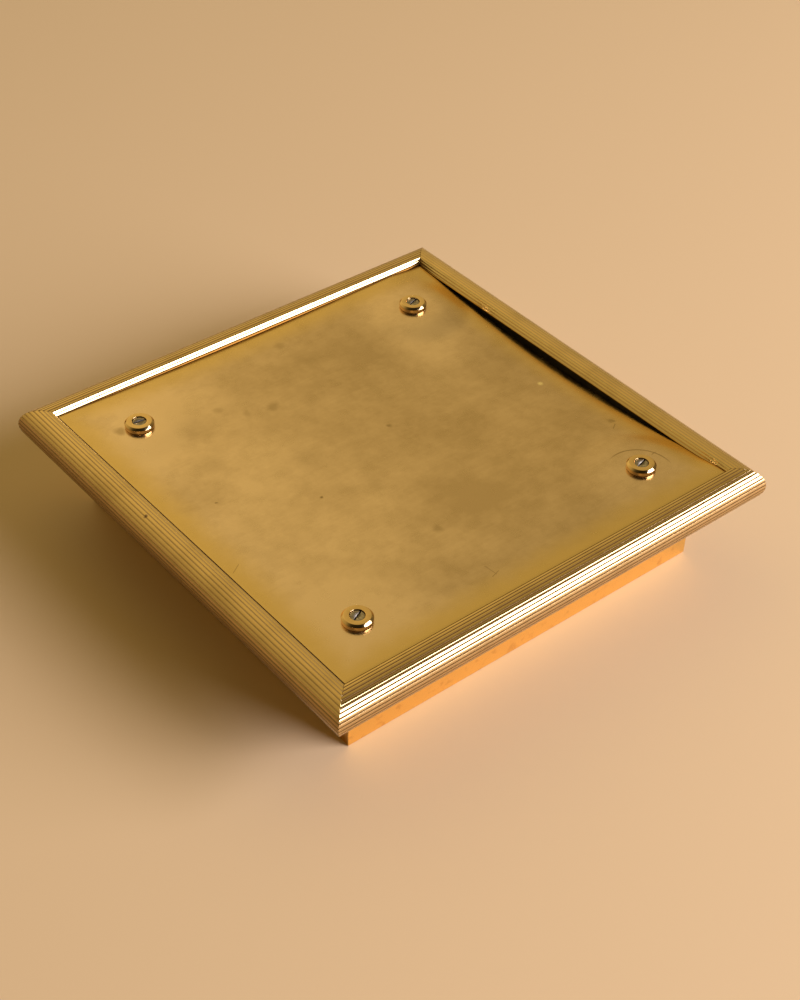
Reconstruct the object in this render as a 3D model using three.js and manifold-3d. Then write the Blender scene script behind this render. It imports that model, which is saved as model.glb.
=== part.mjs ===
// A square brass valet tray, lying face down: the rim of its walls is on z = 0 and its feet point up.
// Millimetres, +Z up, origin at the middle of the rim. Front is -Y and right is +X.
import * as THREE from "three";
import { mergeVertices } from "three/addons/utils/BufferGeometryUtils.js";
import Module from "manifold-3d";

const wasm = await Module();
wasm.setup();

// Driving dimensions: body
const OUTER_SIDE = 200; // across the mouldings
const WALL_SIDE = 163; // across the outside of the walls
const WALL_THICKNESS = 2.2;
const WELL_DEPTH = 30; // rim to tray floor
const SHEET = 1.6; // thickness of the mouldings and of the tray floor
const FIT_GAP = 0.3; // between pieces that are soldered or screwed together
const MITRE_GAP = 0.2; // along the side, at each corner joint

// Driving dimensions: reeded moulding
const ROUND_RADIUS = 7.6; // to the tops of the reeds
const ROUND_CENTRE_Z = 35.2;
const LIP_SIDE = 180.2; // across the frame's opening, where the lips leave the rounds
const LIP_FOOT_SIDE = 177; // across the opening at the feet of the lips, which lean inwards
const LIP_FOOT_Z = 39.3;
const LIP_FOOT_WIDTH = 1.8;
const LIP_REEDS = 3; // flat reeds down the lip
const LIP_REED_RISE = 0.05; // of a reed's width
const FINE_REEDS = 3; // narrow reeds from the lip over the crest
const FINE_END = THREE.MathUtils.degToRad(78.7);
const BROAD_REEDS = 14; // wider reeds from there round to the underside
const BROAD_END = THREE.MathUtils.degToRad(-87.3);
const REED_RISE = 0.09; // of a reed's width
const REED_POWER = 3; // how flat the reeds' tops are
const REED_STEPS = 4;
const HOLLOW_STEPS = 8;

// Driving dimensions: base plate
const PLATE_TOP_Z = 41;
const PLATE_THICKNESS = 0.5;
const PLATE_LEFT = -88.85; // its four edges; it lies a little off centre
const PLATE_RIGHT = 88.2;
const PLATE_FRONT = -88.95;
const PLATE_BACK = 88.2;
const PLATE_CELLS = 22;
const RIGHT_BOW = 4.6; // how far the middle of the right edge is bent down
const RIGHT_BOW_Y = 6;
const RIGHT_BOW_HALF_AT_EDGE = 118;
const RIGHT_BOW_HALF_AT_FEET = 80;
const RIGHT_BOW_POWER = 1.5; // how the bend fades towards the left edge
const RIGHT_BOW_FADE = 14; // strip along the front edge where the bend fades out
const BACK_BOW = 1.2;
const BACK_BOW_HALF = 110;
const HOLD_RADIUS = 8; // round a screw, where the plate is held flat
const HOLD_REACH = 24; // radius by which it bends freely again

// Driving dimensions: feet, screws and bosses
const FOOT_SPACING = 133;
const FOOT_SHIFT_X = -1.1; // the feet's square sits a little off centre
const FOOT_SHIFT_Y = -1.7;
const FOOT_RADIUS = 5.6;
const FOOT_HEIGHT = 2.3;
const FOOT_CHAMFER = 0.85;
const FOOT_SEAT_GAP = 0.1;
const COUNTERBORE_RADIUS = 2.75;
const COUNTERBORE_DEPTH = 1.5;
const CLEARANCE_RADIUS = 1.7; // screw holes in feet, plate and bosses
const HEAD_RADIUS = 2.6;
const HEAD_RECESS = 0.35; // head below the foot's face
const HEAD_SEAT_GAP = 0.05;
const SLOT_WIDTH = 0.6;
const SLOT_DEPTH = 0.5;
const SHANK_RADIUS = 1.45;
const SHANK_LENGTH = 8;
const BOSS_RADIUS = 4.5;
const BOSS_HOLE_FLOOR = 0.6; // metal left under the tapped hole
const ROUND_SIDES = 28;

// Derived sizes
const ROUND_CENTRE_U = OUTER_SIDE / 2 - ROUND_RADIUS; // u is the distance out from the middle
const LIP_U = LIP_SIDE / 2;
const LIP_FOOT_U = LIP_FOOT_SIDE / 2;
const HOLLOW_RADIUS = ROUND_RADIUS - SHEET;
const FOOT_BOTTOM_Z = PLATE_TOP_Z + FOOT_SEAT_GAP;
const FOOT_TOP_Z = FOOT_BOTTOM_Z + FOOT_HEIGHT;
const HEAD_TOP_Z = FOOT_TOP_Z - HEAD_RECESS;
const HEAD_BOTTOM_Z = FOOT_TOP_Z - COUNTERBORE_DEPTH + HEAD_SEAT_GAP;
const FLOOR_TOP_Z = WELL_DEPTH + SHEET; // top of the tray floor and of the walls
const BOSS_BOTTOM_Z = FLOOR_TOP_Z + FIT_GAP;
const BOSS_TOP_Z = PLATE_TOP_Z - PLATE_THICKNESS - FIT_GAP;

// Sides of the square, each with its turn from the front, and corners with their screw slots' angles.
const SIDES = [
  { name: "front", turn: 0 },
  { name: "right", turn: Math.PI / 2 },
  { name: "back", turn: Math.PI },
  { name: "left", turn: -Math.PI / 2 },
];
const CORNERS = [
  { name: "front_left", x: -1, y: -1, slotDegrees: 26 },
  { name: "front_right", x: 1, y: -1, slotDegrees: 15 },
  { name: "back_right", x: 1, y: 1, slotDegrees: 20 },
  { name: "back_left", x: -1, y: 1, slotDegrees: -9 },
].map((corner) => ({
  ...corner,
  x: FOOT_SHIFT_X + (corner.x * FOOT_SPACING) / 2,
  y: FOOT_SHIFT_Y + (corner.y * FOOT_SPACING) / 2,
}));

// Finishes
const brass = (color, roughness) => new THREE.MeshStandardMaterial({ color, roughness, metalness: 1 });
const FINISH = {
  moulding: brass(0xc8a85a, 0.3),
  wall: brass(0xd9a550, 0.22),
  floor: brass(0xb08d4a, 0.4),
  plate: brass(0xb8924f, 0.35),
  foot: brass(0xcfa45c, 0.2),
  boss: brass(0xa88648, 0.45),
  screw: new THREE.MeshStandardMaterial({ color: 0x7d766c, roughness: 0.4, metalness: 1 }),
};

// A closed geometry as a solid that can be cut.
function solid(geometry) {
  const bare = geometry.clone();
  bare.deleteAttribute("normal");
  bare.deleteAttribute("uv");
  const merged = mergeVertices(bare, 1e-4);
  const vertProperties = new Float32Array(merged.getAttribute("position").array);
  const triVerts = new Uint32Array(merged.index.array);
  return new wasm.Manifold(new wasm.Mesh({ numProp: 3, vertProperties, triVerts }));
}

// A cut solid as a geometry.
function geometryOf(body) {
  const mesh = body.getMesh();
  const geometry = new THREE.BufferGeometry();
  geometry.setAttribute("position", new THREE.BufferAttribute(new Float32Array(mesh.vertProperties), 3));
  geometry.setIndex(new THREE.BufferAttribute(new Uint32Array(mesh.triVerts), 1));
  geometry.computeVertexNormals();
  return geometry;
}

// A profile of [radius, z] points, turned about Z.
function turned(profile) {
  const points = profile.map(([radius, z]) => new THREE.Vector2(radius, z));
  return new THREE.LatheGeometry(points, ROUND_SIDES).rotateX(Math.PI / 2);
}

// A section of (u, z) points as a bar along the front side, its ends cut to the corner mitres.
function mitredBar(section) {
  const bar = new THREE.ExtrudeGeometry(section, {
    depth: 2,
    bevelEnabled: false,
    curveSegments: HOLLOW_STEPS,
  });
  const points = bar.getAttribute("position");
  for (let i = 0; i < points.count; i++) {
    const u = points.getX(i);
    const end = points.getZ(i) - 1; // -1 at one end of the bar, 1 at the other
    points.setXYZ(i, -end * (u - MITRE_GAP / 2), -u, points.getY(i));
  }
  bar.computeVertexNormals();
  return bar;
}

// How deep a run of reeds is at a step along it: 0 on a top, 1 in a valley, where each reed starts.
function waveDepth(step) {
  const fromTop = (2 * (step % REED_STEPS)) / REED_STEPS - 1;
  return Math.abs(fromTop) ** REED_POWER;
}

// Points of the reeds from the foot of the leaning lip up to the round.
function lipRun(lipAngle) {
  const foot = new THREE.Vector2(LIP_FOOT_U, LIP_FOOT_Z);
  const top = new THREE.Vector2(LIP_U, ROUND_CENTRE_Z + ROUND_RADIUS * Math.sin(lipAngle));
  const along = top.clone().sub(foot);
  const intoMetal = new THREE.Vector2(along.y, -along.x).normalize();
  const rise = (LIP_REED_RISE * along.length()) / LIP_REEDS;
  const count = LIP_REEDS * REED_STEPS;
  const points = [];
  for (let i = 0; i < count; i++) {
    const point = foot.clone().lerp(top, i / count).addScaledVector(intoMetal, rise * waveDepth(i));
    points.push([point.x, point.y]);
  }
  return points;
}

// Points of one run of equal reeds, from one angle of the round to another.
function reedRun(startAngle, endAngle, count) {
  const reedAngle = (endAngle - startAngle) / count;
  const rise = REED_RISE * Math.abs(reedAngle) * ROUND_RADIUS;
  const points = [];
  for (let i = 0; i < count * REED_STEPS; i++) {
    const angle = startAngle + (i / REED_STEPS) * reedAngle;
    const radius = ROUND_RADIUS - rise * waveDepth(i);
    points.push([ROUND_CENTRE_U + radius * Math.cos(angle), ROUND_CENTRE_Z + radius * Math.sin(angle)]);
  }
  return points;
}

// Hollow reeded section: leaning lip inside, reeds round the outside, flange underneath to the wall.
function mouldingSection() {
  const lipAngle = Math.acos((LIP_U - ROUND_CENTRE_U) / ROUND_RADIUS);
  const hollowAngle = Math.acos((LIP_U + SHEET - ROUND_CENTRE_U) / HOLLOW_RADIUS);
  const flangeU = WALL_SIDE / 2 + FIT_GAP;
  const flangeTopZ = ROUND_CENTRE_Z - HOLLOW_RADIUS;
  const outside = [
    ...lipRun(lipAngle),
    ...reedRun(lipAngle, FINE_END, FINE_REEDS),
    ...reedRun(FINE_END, BROAD_END, BROAD_REEDS),
  ];
  const flangeBottomZ = flangeTopZ - SHEET;
  const section = new THREE.Shape();
  section.moveTo(...outside[0]);
  outside.slice(1).forEach(([u, z]) => section.lineTo(u, z));
  section.lineTo(ROUND_CENTRE_U, flangeBottomZ);
  section.lineTo(flangeU, flangeBottomZ);
  section.lineTo(flangeU, flangeTopZ);
  section.lineTo(ROUND_CENTRE_U, flangeTopZ);
  section.absarc(ROUND_CENTRE_U, ROUND_CENTRE_Z, HOLLOW_RADIUS, -Math.PI / 2, hollowAngle, false);
  section.lineTo(LIP_FOOT_U + LIP_FOOT_WIDTH, LIP_FOOT_Z);
  return section;
}

// Plain strip from the rim up to the top of the tray floor.
function wallSection() {
  const outerU = WALL_SIDE / 2;
  const innerU = outerU - WALL_THICKNESS;
  const section = new THREE.Shape();
  section.moveTo(innerU, 0);
  section.lineTo(outerU, 0);
  section.lineTo(outerU, FLOOR_TOP_Z);
  section.lineTo(innerU, FLOOR_TOP_Z);
  return section;
}

// Square sheet between the walls.
function trayFloor() {
  const side = WALL_SIDE - 2 * (WALL_THICKNESS + FIT_GAP);
  return new THREE.BoxGeometry(side, side, SHEET).translate(0, 0, WELL_DEPTH + SHEET / 2);
}

// 1 in the middle, falling smoothly to 0 at half a width away.
function hump(offset, half) {
  return Math.max(0, 1 - (offset / half) ** 2) ** 2;
}

// How far the base plate lies below its flat place at a point.
function plateBow(x, y) {
  const fromLeft = THREE.MathUtils.clamp(THREE.MathUtils.inverseLerp(PLATE_LEFT, PLATE_RIGHT, x), 0, 1);
  const fromFront = THREE.MathUtils.clamp(THREE.MathUtils.inverseLerp(PLATE_FRONT, PLATE_BACK, y), 0, 1);
  const toEdge = THREE.MathUtils.smoothstep(x, FOOT_SPACING / 2, PLATE_RIGHT);
  const half = THREE.MathUtils.lerp(RIGHT_BOW_HALF_AT_FEET, RIGHT_BOW_HALF_AT_EDGE, toEdge);
  const fade = THREE.MathUtils.smoothstep(y, PLATE_FRONT, PLATE_FRONT + RIGHT_BOW_FADE);
  const rightBow = RIGHT_BOW * fromLeft ** RIGHT_BOW_POWER * hump(y - RIGHT_BOW_Y, half) * fade;
  const backBow = BACK_BOW * fromFront ** 2 * hump(x, BACK_BOW_HALF);
  const distances = CORNERS.map((foot) => Math.hypot(x - foot.x, y - foot.y));
  const free = THREE.MathUtils.smoothstep(Math.min(...distances), HOLD_RADIUS, HOLD_REACH);
  return (rightBow + backBow) * free;
}

// Thin sheet, bent as plateBow says, with a screw hole at each corner.
function basePlate() {
  const width = PLATE_RIGHT - PLATE_LEFT;
  const depth = PLATE_BACK - PLATE_FRONT;
  const sheet = new THREE.BoxGeometry(width, depth, PLATE_THICKNESS, PLATE_CELLS, PLATE_CELLS, 1);
  sheet.translate((PLATE_LEFT + PLATE_RIGHT) / 2, (PLATE_FRONT + PLATE_BACK) / 2, 0);
  const points = sheet.getAttribute("position");
  const middleZ = PLATE_TOP_Z - PLATE_THICKNESS / 2;
  for (let i = 0; i < points.count; i++) {
    points.setZ(i, points.getZ(i) + middleZ - plateBow(points.getX(i), points.getY(i)));
  }
  const hole = new THREE.CylinderGeometry(
    CLEARANCE_RADIUS,
    CLEARANCE_RADIUS,
    4 * PLATE_THICKNESS,
    ROUND_SIDES,
  ).rotateX(Math.PI / 2);
  const drilled = CORNERS.reduce(
    (plate, { x, y }) => plate.subtract(solid(hole.clone().translate(x, y, middleZ))),
    solid(sheet),
  );
  return geometryOf(drilled);
}

// Turned foot with a chamfered face and a counterbored hole, standing on the base plate.
function foot() {
  const counterboreZ = FOOT_TOP_Z - COUNTERBORE_DEPTH;
  return turned([
    [CLEARANCE_RADIUS, FOOT_BOTTOM_Z],
    [FOOT_RADIUS, FOOT_BOTTOM_Z],
    [FOOT_RADIUS, FOOT_TOP_Z - FOOT_CHAMFER],
    [FOOT_RADIUS - FOOT_CHAMFER, FOOT_TOP_Z],
    [COUNTERBORE_RADIUS, FOOT_TOP_Z],
    [COUNTERBORE_RADIUS, counterboreZ],
    [CLEARANCE_RADIUS, counterboreZ],
    [CLEARANCE_RADIUS, FOOT_BOTTOM_Z],
  ]);
}

// Slotted cheese-head screw, its slot turned to the given angle.
function screw(slotDegrees) {
  const body = turned([
    [0, HEAD_BOTTOM_Z - SHANK_LENGTH],
    [SHANK_RADIUS, HEAD_BOTTOM_Z - SHANK_LENGTH],
    [SHANK_RADIUS, HEAD_BOTTOM_Z],
    [HEAD_RADIUS, HEAD_BOTTOM_Z],
    [HEAD_RADIUS, HEAD_TOP_Z],
    [0, HEAD_TOP_Z],
  ]);
  const slot = new THREE.BoxGeometry(4 * HEAD_RADIUS, SLOT_WIDTH, 2 * SLOT_DEPTH)
    .rotateZ(THREE.MathUtils.degToRad(slotDegrees))
    .translate(0, 0, HEAD_TOP_Z);
  return geometryOf(solid(body).subtract(solid(slot)));
}

// Round boss on the tray floor, with a blind hole for the screw.
function boss() {
  const holeZ = BOSS_BOTTOM_Z + BOSS_HOLE_FLOOR;
  return turned([
    [0, BOSS_BOTTOM_Z],
    [BOSS_RADIUS, BOSS_BOTTOM_Z],
    [BOSS_RADIUS, BOSS_TOP_Z],
    [CLEARANCE_RADIUS, BOSS_TOP_Z],
    [CLEARANCE_RADIUS, holeZ],
    [0, holeZ],
  ]);
}

function named(name, geometry, finish) {
  const mesh = new THREE.Mesh(geometry, finish);
  mesh.name = name;
  return mesh;
}

// Assembly
const tray = new THREE.Group();
tray.add(named("tray_floor", trayFloor(), FINISH.floor));
tray.add(named("base_plate", basePlate(), FINISH.plate));
for (const { name, turn } of SIDES) {
  const side = new THREE.Group();
  side.rotation.z = turn;
  side.add(named(`moulding_${name}`, mitredBar(mouldingSection()), FINISH.moulding));
  side.add(named(`wall_${name}`, mitredBar(wallSection()), FINISH.wall));
  tray.add(side);
}
for (const { name, x, y, slotDegrees } of CORNERS) {
  const corner = new THREE.Group();
  corner.position.set(x, y, 0);
  corner.add(named(`boss_${name}`, boss(), FINISH.boss));
  corner.add(named(`foot_${name}`, foot(), FINISH.foot));
  corner.add(named(`screw_${name}`, screw(slotDegrees), FINISH.screw));
  tray.add(corner);
}

export default tray;
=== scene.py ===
import math

import bmesh
import bpy
from mathutils import Matrix, Vector, noise


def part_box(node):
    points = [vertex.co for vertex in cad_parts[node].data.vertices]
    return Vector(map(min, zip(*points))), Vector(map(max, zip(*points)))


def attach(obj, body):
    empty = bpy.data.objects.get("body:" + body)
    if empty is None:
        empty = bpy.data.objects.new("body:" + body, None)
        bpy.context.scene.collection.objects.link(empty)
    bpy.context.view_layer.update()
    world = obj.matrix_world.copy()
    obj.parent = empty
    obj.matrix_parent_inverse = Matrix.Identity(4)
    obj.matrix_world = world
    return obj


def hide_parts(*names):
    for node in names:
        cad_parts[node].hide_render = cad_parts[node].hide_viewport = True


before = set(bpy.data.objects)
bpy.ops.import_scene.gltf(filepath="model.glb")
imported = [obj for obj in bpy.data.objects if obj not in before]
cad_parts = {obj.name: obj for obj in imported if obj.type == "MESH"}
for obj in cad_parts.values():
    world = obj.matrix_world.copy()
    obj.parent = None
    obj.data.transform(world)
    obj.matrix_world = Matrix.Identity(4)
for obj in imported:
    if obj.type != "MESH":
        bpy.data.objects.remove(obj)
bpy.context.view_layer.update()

MM = 0.001

# Camera
CAMERA_AIM = Vector((14.345, 8.745, 0)) * MM
CAMERA_AZIMUTH = math.radians(-40.173)
CAMERA_ELEVATION = math.radians(40.036)
CAMERA_ROLL = math.radians(1.753)
CAMERA_DISTANCE = 715.46 * MM
CAMERA_LENS = 65.19  # millimetres, for 36 mm along the picture's long side

# Light
WINDOW_TOWARDS = Vector((0.536, -0.738, 0.406)).normalized()
WINDOW_DISTANCE = 2.0
WINDOW_WIDTH = 1.58
WINDOW_HEIGHT = 1.25
WINDOW_RADIANCE = 11.1
WINDOW_COLOUR = (1.0, 1.0, 1.2)
PLATE_LAMPS = {  # direction and radiance of each lamp that lights only the base plate
    "front": (Vector((0.03, -0.85, 0.5)).normalized(), 0.5),
    "left": (Vector((-0.86, 0.1, 0.5)).normalized(), 0.25),
}
PLATE_LAMP_DISTANCE = 2.0
PLATE_LAMP_WIDTH = 5.0
PLATE_LAMP_HEIGHT = 2.2
PLATE_LAMP_COLOUR = (1.0, 0.82, 0.45)
ROOM_TINT = (1.0, 0.78, 0.32)
ROOM_BRIGHT_TOWARDS = Vector((0.1, 0.9, 0.45)).normalized()
ROOM_LEVELS = (  # cosine of the angle from the room's bright side, and the room's radiance there
    (-1.0, 0.05),
    (0.0, 0.15),
    (0.49, 0.46),
    (0.7, 0.56),
    (0.86, 0.71),
    (0.96, 0.93),
)
ROOM_DARK_TOWARDS = Vector((-0.494, -0.585, 0.643)).normalized()
ROOM_DARK_FROM = 0.3  # cosines of the angles where the room's dark patch begins and is full
ROOM_DARK_FULL = 0.9
ROOM_DARK_LEVEL = 0.2
FLOOR_HALF = 8.0
FLOOR_DROP = 0.05 * MM
FLOOR_COLOUR = (0.76, 0.525, 0.288, 1)
FLOOR_ROUGHNESS = 0.6

# Reeded moulding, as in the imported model
ROUND_RADIUS = 7.6 * MM
ROUND_CENTRE_U = 92.4 * MM  # u is the distance out from the middle of the tray
ROUND_CENTRE_Z = 35.2 * MM
LIP_U = 90.1 * MM  # where the lip leaves the round
LIP_FOOT_U = 88.5 * MM
LIP_FOOT_Z = 39.3 * MM
LIP_FOOT_WIDTH = 1.8 * MM
MOULDING_SHEET = 1.6 * MM
FLANGE_U = 81.8 * MM
MITRE_GAP = 0.06 * MM
LIP_REEDS = 3
LIP_REED_RISE = 0.05  # of a reed's width
FINE_REEDS = 3
FINE_END = math.radians(78.7)
BROAD_REEDS = 14
BROAD_END = math.radians(-87.3)
REED_RISE = 0.09  # of a reed's width
REED_POWER = 3  # how flat the reeds' tops are
REED_STEPS = 12
HOLLOW_STEPS = 16
WAVES = LIP_REEDS + FINE_REEDS + BROAD_REEDS
BAR_STATIONS = 48
BAR_ENDS = 2  # the end faces of a bar, which come before its others
DIRT_AND_SHADE_BY_SIDE = {"front": 1.0, "right": 0.2, "back": 1.0, "left": 0.35}  # dirt and painted shade in the grooves of each side, and the strength of the painted shade at the lip's foot
LOWER_SHADE = {"front": 0.0, "right": 0.3, "back": 0.3, "left": 0.75}  # painted shade on the lower half of each side
LOWER_SHADE_FROM = 6 * MM  # round the outside from its middle, up being positive
LOWER_SHADE_FULL = 1 * MM
LIP_UNSHADED_Z = 41.0 * MM  # the lip is unshaded from here up, with painted shade below
LIP_SHADED_Z = 40.5 * MM
MITRE_SOFTENING = 0.08 * MM

# Walls and sheets
WALL_OUTER_U = -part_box("wall_front")[0].y
WALL_INNER_U = -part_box("wall_front")[1].y
WALL_TOP_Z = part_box("wall_front")[1].z
WALL_EDGE = 0.3 * MM
PLATE_LOW, PLATE_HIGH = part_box("base_plate")
PLATE_TOP_Z = PLATE_HIGH.z
PLATE_THICKNESS = 0.5 * MM
PLATE_EDGE = 0.03 * MM
PLATE_CELLS = 140

# Bend of the base plate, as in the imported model
FOOT_SPACING = 133 * MM
RIGHT_BOW = 4.6 * MM
RIGHT_BOW_Y = 6 * MM
RIGHT_BOW_HALF_AT_EDGE = 118 * MM
RIGHT_BOW_HALF_AT_FEET = 80 * MM
RIGHT_BOW_POWER = 1.5
RIGHT_BOW_FADE = 14 * MM
BACK_BOW = 1.2 * MM
BACK_BOW_HALF = 110 * MM
HOLD_RADIUS = 8 * MM
HOLD_REACH = 24 * MM
DENTS = ((38 * MM, 0.05 * MM), (13 * MM, 0.008 * MM))  # width and depth of shallow unevenness

# Feet and screws
FOOT_CHAMFER = 0.85 * MM
FOOT_EDGE = 0.14 * MM
COUNTERBORE_RADIUS = 2.75 * MM
COUNTERBORE_DEPTH = 1.5 * MM
CLEARANCE_RADIUS = 1.7 * MM
HEAD_HEIGHT = 1.1 * MM
HEAD_EDGE = 0.22 * MM
SHANK_RADIUS = 1.45 * MM
SLOT_WIDTH = 0.6 * MM
SLOT_DEPTH = 0.5 * MM
SLOT_MARGIN = 0.02 * MM
TURNED_SIDES = 96
EDGE_STEPS = 4
WELD_DISTANCE = MM / 1000  # points of a turned piece nearer than this are joined

SIDES = {"front": 0, "right": math.pi / 2, "back": math.pi, "left": -math.pi / 2}
SLOT_DEGREES = {"front_left": 26, "front_right": 15, "back_right": 20, "back_left": -9}
FEET = {corner: sum(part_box(f"foot_{corner}"), Vector()) / 2 for corner in SLOT_DEGREES}
FOOT_LOW, FOOT_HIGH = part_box("foot_front_left")
FOOT_RADIUS = (FOOT_HIGH.x - FOOT_LOW.x) / 2
SCREW_LOW, SCREW_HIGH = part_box("screw_front_left")
HEAD_RADIUS = (SCREW_HIGH.x - SCREW_LOW.x) / 2

# Marks on the base plate: where they are and how large, in millimetres, and how strong
SPOT_CORE = 0.2  # of a mark's radius, where it is strongest
LINE_CORE = 0.1  # of a scratch's width, from its middle, where it is strongest and where it ends
LINE_END = 0.6
SMUDGES = (
    (-52, 50, 10, 0.22),
    (-38.4, 55.8, 2.4, 0.28),
    (-30.4, 47.8, 2.6, 0.28),
    (-20, 45.3, 4, 0.42),
    (6, 76.5, 3, 0.32),
    (10, 63, 8, 0.2),
    (10, 10, 1.8, 0.55),
    (-38, -9, 1.2, 0.9),
    (-70, 10, 0.8, 0.8),
    (-16, -48, 3, 0.4),
    (79, -39, 2, 0.5),
    (-28, 12, 9, 0.2),
    (-60, 30, 8, 0.18),
    (-18, -15, 5, 0.2),
    (-75, 66, 3, 0.5),
)
PALE_PATCHES = ((58, 45, 26, 0.6), (76, -76, 20, 0.5))
DULL_PATCHES = (
    (-74, 15, 18, 0.5),
    (-79, 74, 13, 0.5),
    (-3, -40, 24, 0.4),
    (-25, -74, 20, 0.4),
    (-18, 31, 18, 0.25),
)
NICK = (75, -3, 1.6, 0.8)  # a bright spot
MOULDING_NICK = (-95.1, 18, 1.1, 0.8)  # a dark spot on the left moulding
SCRATCHES = (  # from and to, in millimetres along X and Y, and width
    (-16.2, -74, -15.6, -79.5, 0.35),
    (-17.6, -79.6, -14, -78.6, 0.4),
    (-87, -24, -83, -21.5, 0.35),
    (76, -43, 79, -41, 0.5),
    (74.3, -65.1, 76.2, -64.9, 0.6),
)
SCRATCH_STRENGTH = 0.6
ARC_CENTRE = (63.8, -69.8)
ARC_RADIUS = 12.8
ARC_WIDTH = 0.7
ARC_TOWARDS = math.radians(47)
ARC_HALF = math.radians(68)
ARC_STRENGTH = 0.75
HALO_RADIUS = 32
HALO_STRENGTH = 0.45
EDGE_BAND = 14 * MM  # along the plate's edges, where it stays golden

# Colours of the metals, linear
BRASS = (0.66, 0.455, 0.20, 1)
# painted light: brighter brass for the lip, the same metal as the rest of the moulding
LIP_PAINTED_LIGHT_BRASS = (0.92, 0.68, 0.32, 1)
# dark brass for blotches and grime spots, and for the painted shade on the mouldings' lower halves
BRASS_GRIME_AND_SHADE = (0.26, 0.165, 0.055, 1)
# dirt and painted shade in the reeds' grooves: a dull brown coat
GROOVE_DIRT_AND_SHADE = (0.135, 0.06, 0.008, 1)
# painted shade on the lip's foot, near the plate
LIP_FOOT_SHADE = (0.09, 0.038, 0.006, 1)
WALL_BRASS = (0.91, 0.57, 0.15, 1)
WALL_STAIN = (0.72, 0.40, 0.10, 1)
PLATE_BRASS = (0.75, 0.555, 0.375, 1)
PLATE_PATINA = (0.51, 0.365, 0.225, 1)
PLATE_GOLD = (0.66, 0.46, 0.19, 1)
PLATE_STAIN = (0.25, 0.165, 0.075, 1)
PLATE_NICK = (0.95, 0.8, 0.5, 1)
FOOT_BRASS = (0.68, 0.46, 0.21, 1)
# painted shade: near-black metal for the hollow inside the mouldings
INSIDE_SHADE_BRASS = (0.10, 0.065, 0.03, 1)
GRAZING_BRASS = (1.0, 0.8, 0.5, 1)  # tint of the plate's reflections at a flat angle
FLOOR_BRASS = (0.72, 0.53, 0.23, 1)
BOSS_BRASS = (0.5, 0.37, 0.16, 1)
STEEL = (0.36, 0.31, 0.24, 1)
STEEL_DARK = (0.2, 0.16, 0.11, 1)
# dirt and painted shade in the screws' slots
SLOT_DIRT_AND_SHADE = (0.035, 0.022, 0.012, 1)

# Finish of the metals: width and strength of their marks, roughness from and to, and the ranges of noise used
NOISE_RANGE = (0.3, 0.7)
NOISE_MIDDLE = (0.5, 0.5, 0.5)
STREAK_WIDTH = 0.5 * MM
STREAK_RANGE = (0.3, 0.75)
STREAK_SQUEEZE = 0.02  # along the moulding
STREAK_HEIGHT = 0.01 * MM
STREAK_STRENGTH = 0.2
BLOTCH_WIDTH = 16 * MM
BLOTCH_RANGE = (0.45, 0.75)
BLOTCH_STRENGTH = 0.25
DIRT_AND_SHADE_FROM = 0.17  # depth in a groove where the dirt and painted shade begin and are full, 1 being the bottom
DIRT_AND_SHADE_FULL = 0.45
DIRT_AND_SHADE_GLOSS = 0.05
DIRT_AND_SHADE_ROUGHNESS = 0.6
MOULDING_ROUGHNESS = (0.1, 0.17)
INSIDE_STAIN_WIDTH = 9 * MM
INSIDE_ROUGHNESS = (0.55, 0.75)
WALL_LINE_WIDTH = 0.6 * MM
WALL_LINE_SQUEEZE = 0.05  # along the wall
WALL_LINE_HEIGHT = 0.008 * MM
WALL_LINE_STRENGTH = 0.4
WALL_SPOT_WIDTH = 4 * MM
WALL_SPOT_RANGE = (0.55, 0.72)
WALL_SPOT_STRENGTH = 0.75
WALL_ROUGHNESS = (0.12, 0.2)
PATINA_PALE_X = -80 * MM  # the patina grows from left to right between these two
PATINA_DULL_X = 25 * MM
PATINA_LEVELS = (0.1, 0.78)
BROAD_BLOTCH_WIDTH = 38 * MM
BROAD_BLOTCH_STRENGTH = 0.2
FINE_BLOTCH_WIDTH = 7 * MM
FINE_BLOTCH_STRENGTH = 0.14
BRUSHED_WIDTH = 0.9 * MM
BRUSHED_SQUEEZE = 0.08  # along X
BRUSHED_TURN = math.radians(4)
BRUSHED_STRENGTH = 0.05
BRUSHED_HEIGHT = 0.004 * MM
BRUSHED_BUMP = 0.25
RAGGED_WIDTH = 6 * MM  # of the waver that makes the plate's marks uneven
RAGGED_REACH = 4 * MM
PLATE_ROUGHNESS = (0.2, 0.28)
FOOT_SPOT_WIDTH = 2.2 * MM
FOOT_SPOT_RANGE = (0.5, 0.8)
FOOT_SPOT_STRENGTH = 0.2
FOOT_ROUGHNESS = (0.1, 0.13)
STEEL_SPOT_WIDTH = 1.1 * MM
STEEL_SPOT_RANGE = (0.35, 0.7)
STEEL_ROUGHNESS = (0.28, 0.45)
SLOT_ROUGHNESS = 0.8
SATIN_SPOT_RANGE = (0.4, 0.75)
SATIN_SPOT_STRENGTH = 0.5
SATIN_ROUGHNESS = (0.3, 0.42)
TRAY_FLOOR_SPOT_WIDTH = 24 * MM
BOSS_SPOT_WIDTH = 4 * MM


def smoothstep(value, low, high):
    share = min(1, max(0, (value - low) / (high - low)))
    return share * share * (3 - 2 * share)


# Meshes

def make_piece(name, points, faces, sharp_degrees=35):
    """A mesh object with outward faces, smooth except at edges sharper than the angle."""
    mesh = bpy.data.meshes.new(name)
    mesh.from_pydata(points, [], faces)
    shape = bmesh.new()
    shape.from_mesh(mesh)
    bmesh.ops.recalc_face_normals(shape, faces=shape.faces)
    shape.to_mesh(mesh)
    shape.free()
    mesh.shade_smooth()
    mesh.set_sharp_from_angle(angle=math.radians(sharp_degrees))
    piece = bpy.data.objects.new(name, mesh)
    bpy.context.scene.collection.objects.link(piece)
    return piece


def dress(piece, node, slot, *materials):
    """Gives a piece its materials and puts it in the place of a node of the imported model."""
    for material in materials:
        piece.data.materials.append(material)
    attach(piece, "root")
    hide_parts(node)


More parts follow.
